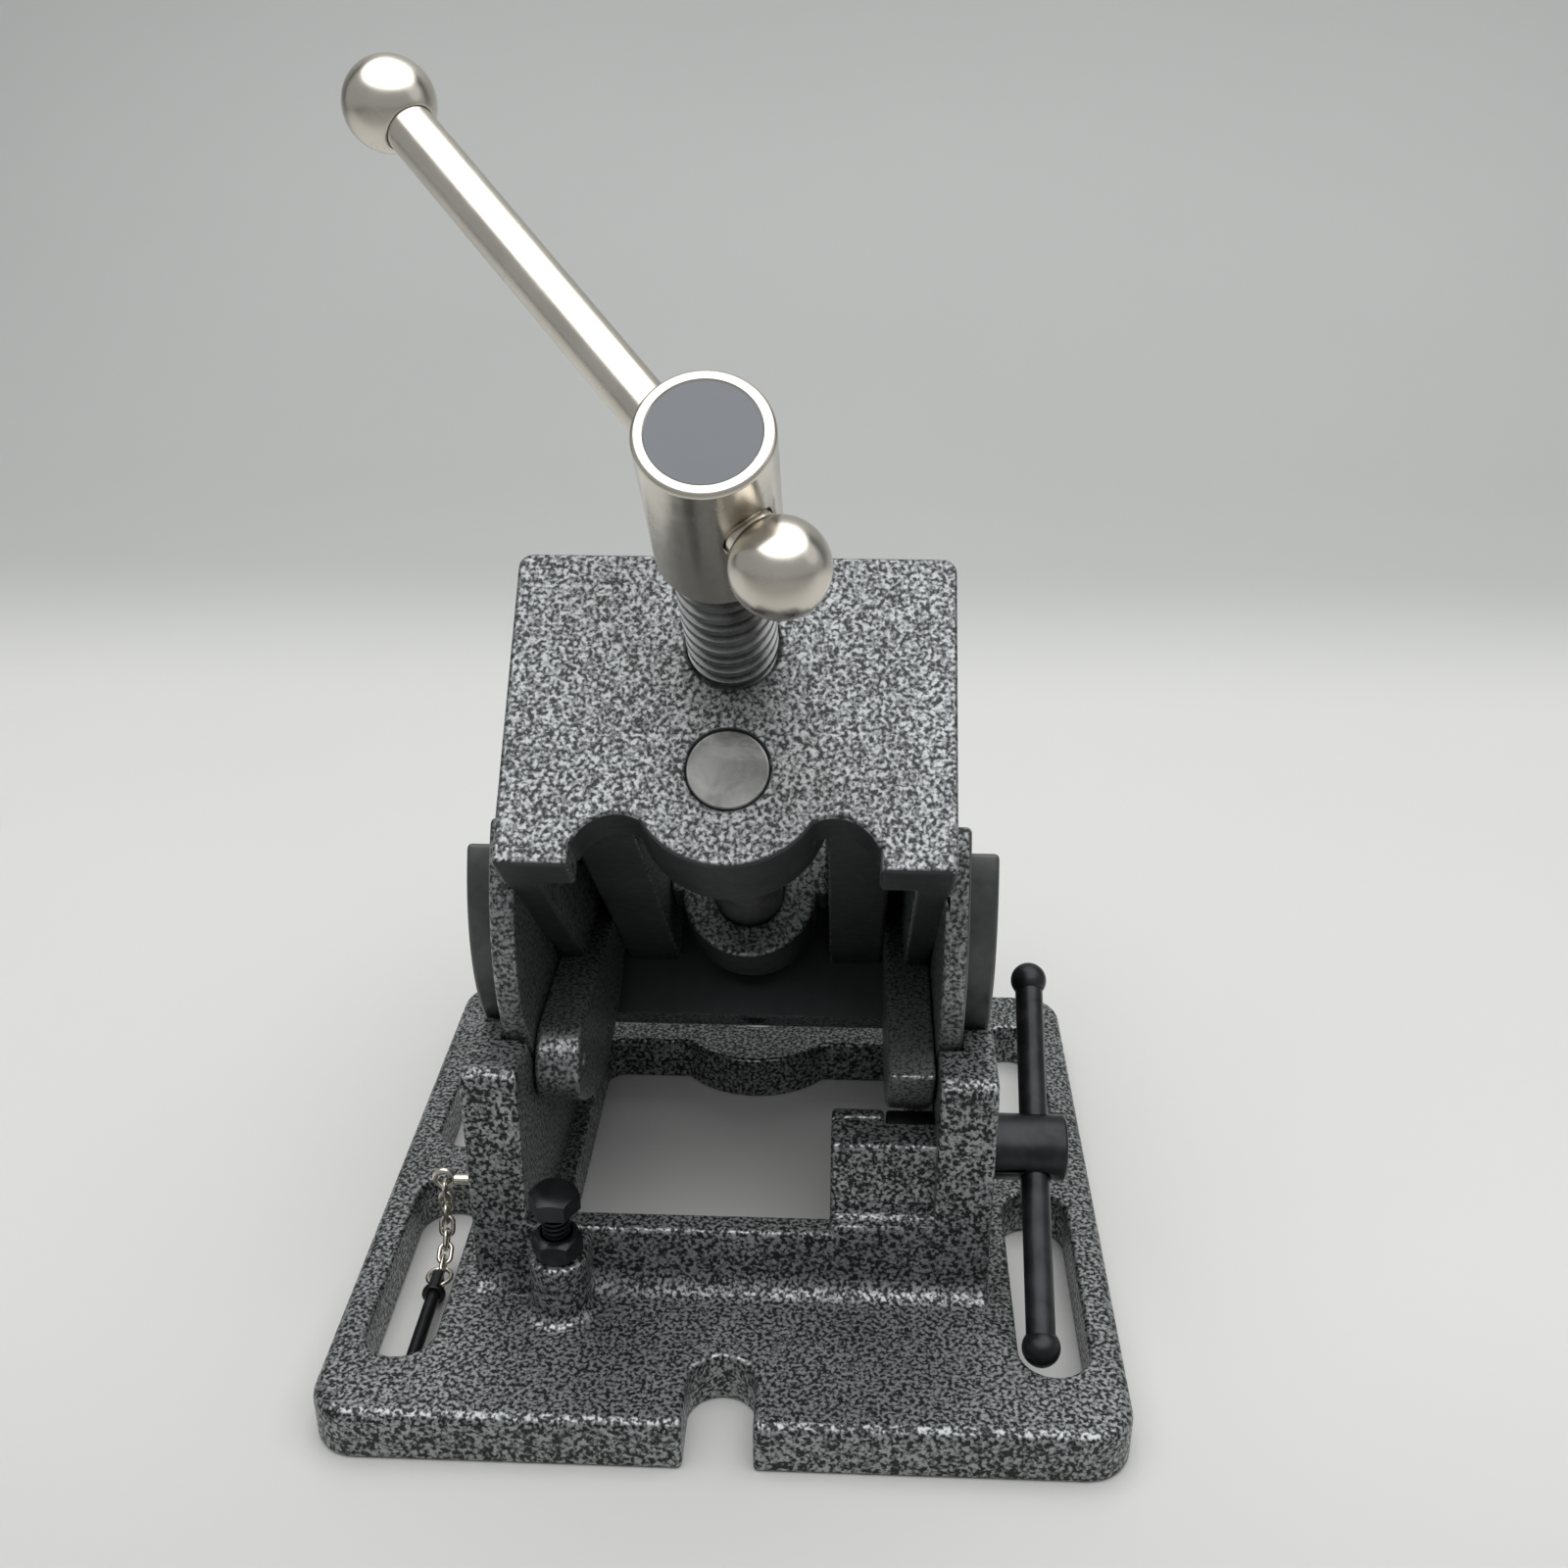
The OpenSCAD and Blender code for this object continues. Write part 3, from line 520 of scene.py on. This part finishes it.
def six_sided(shape, across, rings, turn, closed=False, steps=72):
    """Skins rings of (radius, place, droop) round Z; a ring with no radius follows a hexagon."""
    slope = math.tan(math.radians(30))
    before = set(shape.faces)
    loops = []
    for radius, place, droop in rings:
        verts = bmesh.ops.create_circle(shape, segments=steps, radius=1.0, cap_ends=False)["verts"]
        for vert in verts:
            bearing = math.atan2(vert.co.y, vert.co.x)
            out = radius or across / 2 / math.cos(bearing % (math.pi / 3) - math.pi / 6)
            fall = droop * max(0.0, out - CHAMFER * across) * slope
            vert.co = (vert.co.x * out, vert.co.y * out, place - fall)
        loops.append(list({edge for vert in verts for edge in vert.link_edges}))
    pairs = list(zip(loops, loops[1:]))
    if closed:
        pairs.append((loops[-1], loops[0]))
    for first, second in pairs:
        bmesh.ops.bridge_loops(shape, edges=first + second)
    if not closed:
        bmesh.ops.edgeloop_fill(shape, edges=loops[0])
        bmesh.ops.edgeloop_fill(shape, edges=loops[-1])
    put_in(shape, before, turn)


def softened_piece(name, node, maker, width):
    """Makes a CAD node's twin with rounded edges."""
    settle(soften(copied(node), width), name, node, [maker])


# Operators


class VISE_OT_castings(bpy.types.Operator):
    """Softens the edges of the three castings and coats them in hammertone"""

    bl_idname = "vise.castings"
    bl_label = "Castings"

    def execute(self, context):
        width = set_up("form").cast_round
        ring_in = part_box("vise_body")[1].x - 5.4 * MM
        for name, node, enamel in (("cradle_base", "base_casting", base_enamel_shaded),
                                   ("tilting_body", "vise_body", body_enamel),
                                   ("sliding_jaw", "moving_jaw", body_enamel)):
            shape = copied(node)
            for face in shape.faces:
                face.material_index = self.coat(node, face, ring_in)
            soften(shape, width)
            if node == "base_casting":
                self.boss_foot(shape)
            settle(shape, name, node, [enamel, milled_iron_and_shade, machined_ring_shaded])
        return {"FINISHED"}

    def coat(self, node, face, ring_in):
        """The finish of a face: a dark machined ring, plain iron below, plain dark iron as painted shade on
        the far end wall's inner face, or enamel.
        """
        along = Vector(JOINTS["jaw_slide"]["axis"])
        down = Vector((0, -1, -1)).normalized()
        leaning = 0.3
        square_on = 0.9
        wall_out = 37.7 * MM
        feet = 18 * MM
        far_end = 40 * MM
        middle = face.calc_center_median()
        aside = abs(middle.x)
        from_pivot = middle - Vector(JOINTS["vise_tilt"]["pos_m"])
        if node == "base_casting":
            return ENAMEL
        if node == "vise_body" and aside > ring_in:
            return RING
        if face.normal.dot(down) > leaning:
            return ENAMEL if from_pivot.dot(down) > feet or aside > wall_out else IRON_AND_SHADE
        # Painted shade: the far end wall's inner face takes the plain dark iron
        shaded_far_wall = aside < wall_out and from_pivot.dot(along) > far_end
        if node == "vise_body" and shaded_far_wall and face.normal.dot(along) < -square_on:
            return IRON_AND_SHADE
        return ENAMEL

    def boss_foot(self, shape):
        """Lays a concave fillet round the foot of the stop bolt's boss."""
        boss = 5.2 * MM
        floor = 10 * MM
        sweep = 2.2 * MM
        sunk = 0.2 * MM
        steps = 8
        outline = [(boss - sunk, floor - sunk), (boss + sweep, floor - sunk)]
        for step in range(steps + 1):
            bend = math.pi / 2 * step / steps
            outline.append((boss + sweep * (1 - math.sin(bend)), floor + sweep * (1 - math.cos(bend))))
        outline += [(boss - sunk, floor + sweep), outline[0]]
        lathe(shape, outline, stop_line())


class VISE_OT_lead_screw(bpy.types.Operator):
    """Cuts the lead screw's thread and sets the flat disc in the hub"""

    bl_idname = "vise.lead_screw"
    bl_label = "Lead screw"

    def execute(self, context):
        form = set_up("form")
        point, axis = screw_line()
        turn = frame_on(point, axis)
        last = reach("lead_screw", point, axis)[1]
        hub_end, hub_foot = reach("spindle_hub", point, axis)
        jaw_back = reach("moving_jaw", point, axis)[0]
        crest = 7.8 * MM
        core = crest - form.depth
        sunk = 0.1 * MM
        thread_end = jaw_back - 0.4 * MM
        journal = 5.5 * MM
        ease = 0.5 * MM
        shoulder = jaw_back - 0.3 * MM
        spigot = 7.4 * MM
        flare = 0.62 * MM
        lip = 0.08 * MM
        level = hub_end + 0.15 * MM
        spigot_foot = hub_foot - 1 * MM
        core_foot = hub_foot - 2 * MM
        oiled, disc = range(2)
        shape = bmesh.new()
        lathe(shape, [(0, level), (spigot + 0.85 * flare, level), (spigot + flare, level + lip),
                      (spigot, level + flare), (spigot, spigot_foot), (0, spigot_foot)], turn, disc)
        lathe(shape, [(0, core_foot), (core, core_foot), (core, shoulder), (journal, shoulder),
                      (journal, last - ease), (journal - ease, last), (0, last)], turn, oiled)
        thread(shape, core - sunk, crest, hub_foot, thread_end, form.pitch, turn, form.steps)
        settle(shape, "threaded_spindle", "lead_screw", [oiled_thread, hub_disc], 40.0)
        return {"FINISHED"}


class VISE_OT_handle(bpy.types.Operator):
    """Plates the hub, the handle bar and its two balls"""

    bl_idname = "vise.handle"
    bl_label = "Hub and handle"

    def execute(self, context):
        width = set_up("form").turned_round
        self.hub(width)
        softened_piece("plated_bar", "handle_bar", nickel_plate, width)
        softened_piece("plated_ball_upper", "handle_ball_upper", nickel_plate, 0.6 * width)
        softened_piece("plated_ball_lower", "handle_ball_lower", nickel_plate, 0.6 * width)
        return {"FINISHED"}

    def hub(self, width):
        """The hub, with a chamfered mouth round its disc and a well rounded rim."""
        point, axis = screw_line()
        end = reach("spindle_hub", point, axis)[0]
        mouth = 8.6 * MM
        hair = 0.01 * MM
        shape = copied("spindle_hub")
        for inside, round_off, segments in ((True, 0.7 * MM, 1), (False, 0.9 * MM, 4)):
            rim = []
            for edge in shape.edges:
                middle = (edge.verts[0].co + edge.verts[1].co) / 2 - point
                radius = (middle - middle.dot(axis) * axis).length
                level = all(abs((vert.co - point).dot(axis) - end) < hair for vert in edge.verts)
                if level and (radius < mouth) == inside:
                    rim.append(edge)
            soften(shape, round_off, segments, edges=rim)
        soften(shape, 1.8 * width, least=50.0)
        settle(shape, "plated_hub", "spindle_hub", [nickel_plate])


class VISE_OT_tilt_lock(bpy.types.Operator):
    """Blackens the lock shaft, its T-bar and the bar's knobs"""

    bl_idname = "vise.tilt_lock"
    bl_label = "Tilt lock"

    def execute(self, context):
        width = set_up("form").turned_round
        softened_piece("lock_spindle", "lock_shaft", black_oxide, 1.6 * width)
        softened_piece("tee_bar", "lock_bar", black_oxide, width)
        softened_piece("tee_knobs", "lock_bar_knobs", black_oxide, 0.5 * width)
        return {"FINISHED"}


class VISE_OT_stop_bolt(bpy.types.Operator):
    """Makes the stop bolt with its chamfered head and thread, and its lock nut"""

    bl_idname = "vise.stop_bolt"
    bl_label = "Stop bolt"

    def execute(self, context):
        low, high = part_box("stop_bolt")
        across = high.y - low.y
        radius = 2.5 * MM
        slack = 0.05 * MM
        self.bolt(across, radius, low.z, high.z)
        low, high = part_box("stop_lock_nut")
        self.nut(across, radius + slack, low.z, high.z)
        return {"FINISHED"}

    def bolt(self, across, radius, foot, top):
        """A threaded shank below a head with chamfered corners."""
        form = set_up("form")
        ease = form.turned_round
        turn = stop_line()
        head_height = 4 * MM
        head = top - head_height
        flat = CHAMFER * across
        core = radius - 0.6 * form.bolt_pitch
        sunk = 0.05 * MM
        steps = 24
        shape = bmesh.new()
        six_sided(shape, across, [(flat, head, 0), (0, head + 0.2 * ease, 0), (0, top - ease, 1),
                                  (flat, top - ease, 0), (0.8 * flat, top - 0.3 * ease, 0),
                                  (0.5 * flat, top, 0)], turn)
        lathe(shape, [(0, foot), (core - ease, foot), (core, foot + ease), (core, head + ease)], turn)
        thread(shape, core - sunk, radius, foot + ease, head, form.bolt_pitch, turn, steps)
        settle(shape, "stop_screw", "stop_bolt", [black_oxide], 30.0)

    def nut(self, across, bore, foot, top):
        """A nut with chamfered corners and an eased bore."""
        ease = set_up("form").turned_round
        flat = CHAMFER * across
        shape = bmesh.new()
        six_sided(shape, across, [(0, foot + ease, -1), (0, top - ease, 1), (flat, top - 0.5 * ease, 0),
                                  (0.8 * flat, top, 0), (bore + ease, top, 0), (bore, top - ease, 0),
                                  (bore, foot + ease, 0), (bore + ease, foot, 0), (0.8 * flat, foot, 0),
                                  (flat, foot + 0.5 * ease, 0)], stop_line(), True)
        settle(shape, "stop_nut", "stop_lock_nut", [black_oxide], 30.0)


class VISE_OT_pin_chain(bpy.types.Operator):
    """Finishes the lock pin and the chain that keeps it"""

    bl_idname = "vise.pin_chain"
    bl_label = "Lock pin and chain"

    def execute(self, context):
        width = set_up("form").turned_round
        softened_piece("keeper_eye", "chain_anchor", nickel_plate, 0.3 * width)
        softened_piece("keeper_chain", "chain", nickel_plate, 0.3 * width)
        softened_piece("keeper_ring", "pin_ring", nickel_plate, 0.3 * width)
        softened_piece("tilt_pin", "lock_pin", black_oxide, 0.6 * width)
        return {"FINISHED"}


class VISE_OT_jaw_fittings(bpy.types.Operator):
    """Finishes the jaw plates, their screws, the guide rod and the small retainers"""

    bl_idname = "vise.jaw_fittings"
    bl_label = "Jaw fittings"

    def execute(self, context):
        width = set_up("form").turned_round
        for name, node, maker in (
                ("ground_plate_fixed", "fixed_jaw_plate", turned_steel),
                ("ground_plate_moving", "moving_jaw_plate", turned_steel),
                ("slide_rod", "guide_rod", turned_steel),
                ("plate_screws_fixed", "fixed_jaw_screws", black_oxide),
                ("plate_screws_moving", "moving_jaw_screws", black_oxide),
                ("journal_pins", "screw_retaining_pins", turned_steel),
                ("rod_grub_screw", "rod_set_screw", black_oxide)):
            softened_piece(name, node, maker, width)
        return {"FINISHED"}


class VISE_OT_stage(bpy.types.Operator):
    """Sets the floor, backdrop, lamps, world and camera"""

    bl_idname = "vise.stage"
    bl_label = "Stage"

    def execute(self, context):
        stage = set_up("stage")
        self.sweep(stage)
        self.lamp("ceiling_softbox", place=(0.05, -0.14, 1.2), target=(0, -0.05, 0.05), width=2.3,
                  power=stage.ceiling)
        self.lamp("right_softbox", place=(1.1, -0.1, 0.7), target=(0, 0, 0.08), width=0.8, power=stage.fill)
        context.scene.world = self.surroundings(stage)
        context.scene.view_settings.view_transform = "Standard"
        context.scene.camera = self.photo_view(stage)
        return {"FINISHED"}

    def photo_view(self, stage):
        """The camera, at the place and slope that were solved from the photograph."""
        lens = bpy.data.cameras.new("photo_view")
        lens.lens = stage.lens
        lens.sensor_width = 36
        lens.clip_start = 0.01
        camera = bpy.data.objects.new("photo_view", lens)
        camera.location = stage.eye
        camera.rotation_euler = (math.pi / 2 - stage.down, 0, stage.turn)
        bpy.context.scene.collection.objects.link(camera)
        return camera

    def surroundings(self, stage):
        """A faint even light, and a pale background where the camera or a gloss looks past the sweep."""
        world = bpy.data.worlds.new("studio")
        world.use_nodes = True
        tree = world.node_tree
        back = tree.nodes["Background"]
        back.inputs["Color"].default_value = (0.96, 0.98, 1.0, 1)
        path = tree.nodes.new("ShaderNodeLightPath")
        seen = path.outputs["Is Camera Ray"]
        for ray in ("Is Glossy Ray", "Is Transmission Ray"):
            either = tree.nodes.new("ShaderNodeMath")
            either.operation = "MAXIMUM"
            tree.links.new(seen, either.inputs[0])
            tree.links.new(path.outputs[ray], either.inputs[1])
            seen = either.outputs[0]
        level = tree.nodes.new("ShaderNodeMapRange")
        level.inputs["To Min"].default_value = stage.air
        level.inputs["To Max"].default_value = stage.pale
        tree.links.new(seen, level.inputs["Value"])
        tree.links.new(level.outputs["Result"], back.inputs["Strength"])
        return world

    def lamp(self, name, place, target, width, power):
        """A round soft lamp that looks at a target."""
        light = bpy.data.lights.new(name, "AREA")
        light.shape = "DISK"
        light.size = width
        light.energy = power
        softbox = bpy.data.objects.new(name, light)
        softbox.location = place
        softbox.rotation_euler = (Vector(target) - Vector(place)).to_track_quat("-Z", "Y").to_euler()
        bpy.context.scene.collection.objects.link(softbox)

    def sweep(self, stage):
        """A floor that curves up into a backdrop."""
        shape = bmesh.new()
        half = 2.2
        front = -1.6
        back = 0.55
        bend = 0.35
        top = 2.4
        steps = 12
        line = [(-half, front, 0), (-half, back, 0)]
        for step in range(1, steps + 1):
            rise = math.pi / 2 * step / steps
            line.append((-half, back + bend * math.sin(rise), bend * (1 - math.cos(rise))))
        line.append((-half, back + bend, top))
        line = [shape.verts.new(point) for point in line]
        edges = [shape.edges.new(pair) for pair in zip(line, line[1:])]
        wide = bmesh.ops.extrude_edge_only(shape, edges=edges)["geom"]
        moved = [item for item in wide if isinstance(item, bmesh.types.BMVert)]
        bmesh.ops.translate(shape, vec=(2 * half, 0, 0), verts=moved)
        bmesh.ops.recalc_face_normals(shape, faces=shape.faces)
        mesh = bpy.data.meshes.new("studio_sweep")
        shape.to_mesh(mesh)
        shape.free()
        mesh.polygons.foreach_set("use_smooth", [True] * len(mesh.polygons))
        mesh.materials.append(self.paper(stage))
        floor = bpy.data.objects.new("studio_sweep", mesh)
        bpy.context.scene.collection.objects.link(floor)

    def paper(self, stage):
        """Matt paper that turns from floor to wall colour behind the vise, with a painted shadow that
        darkens it towards the front.
        """
        made = Nodes("studio_paper")
        split = made.tree.nodes.new("ShaderNodeSeparateXYZ")
        made.link(made.place, split.inputs[0])
        depth = split.outputs["Y"]
        tone = made.mix(made.fade(depth, start=0.26, end=0.44), tuple(stage.floor), tuple(stage.wall))
        cloud = made.ramp(made.noise(3.0, 3.0), (0.3, 0.96), (0.7, 1.0))
        tone = made.mix(1.0, tone, cloud, "MULTIPLY")
        # Painted shadow: the paper darkens towards the front
        tone = made.mix(1.0, tone, made.fade(depth, start=-0.3, end=0.0, low=0.5), "MULTIPLY")
        made.set(Roughness=0.55)
        made.use("Base Color", tone)
        return made.material


class VISE_PT_panel(bpy.types.Panel):
    """Lists the steps that finish the vise"""

    bl_idname = "VISE_PT_panel"
    bl_label = "Drill press vise"
    bl_space_type = "VIEW_3D"
    bl_region_type = "UI"
    bl_category = "Vise"

    def draw(self, context):
        for step in STEPS:
            self.layout.operator(step.bl_idname)
        for name in GROUPS:
            group = set_up(name)
            box = self.layout.box()
            for key in group.bl_rna.properties.keys():
                if key not in {"rna_type", "name"}:
                    box.prop(group, key)


GROUPS = {"paint": VisePaint, "metal": ViseMetal, "form": ViseForm, "stage": ViseStage}
STEPS = (VISE_OT_castings, VISE_OT_lead_screw, VISE_OT_handle, VISE_OT_tilt_lock, VISE_OT_stop_bolt,
         VISE_OT_pin_chain, VISE_OT_jaw_fittings, VISE_OT_stage)


def register():
    """Adds the settings, the steps and the panel to Blender."""
    for group in GROUPS.values():
        bpy.utils.register_class(group)
    for step in STEPS + (VISE_PT_panel,):
        bpy.utils.register_class(step)
    for name, group in GROUPS.items():
        setattr(bpy.types.Scene, "vise_" + name, PointerProperty(type=group))


def unregister():
    """Takes them away again."""
    for name in GROUPS:
        delattr(bpy.types.Scene, "vise_" + name)
    for step in reversed(STEPS + (VISE_PT_panel,)):
        bpy.utils.unregister_class(step)
    for group in reversed(list(GROUPS.values())):
        bpy.utils.unregister_class(group)


def main():
    """Runs every step."""
    register()
    for step in STEPS:
        area, name = step.bl_idname.split(".")
        getattr(getattr(bpy.ops, area), name)()
    bpy.context.view_layer.update()


if __name__ == "__main__":
    main()
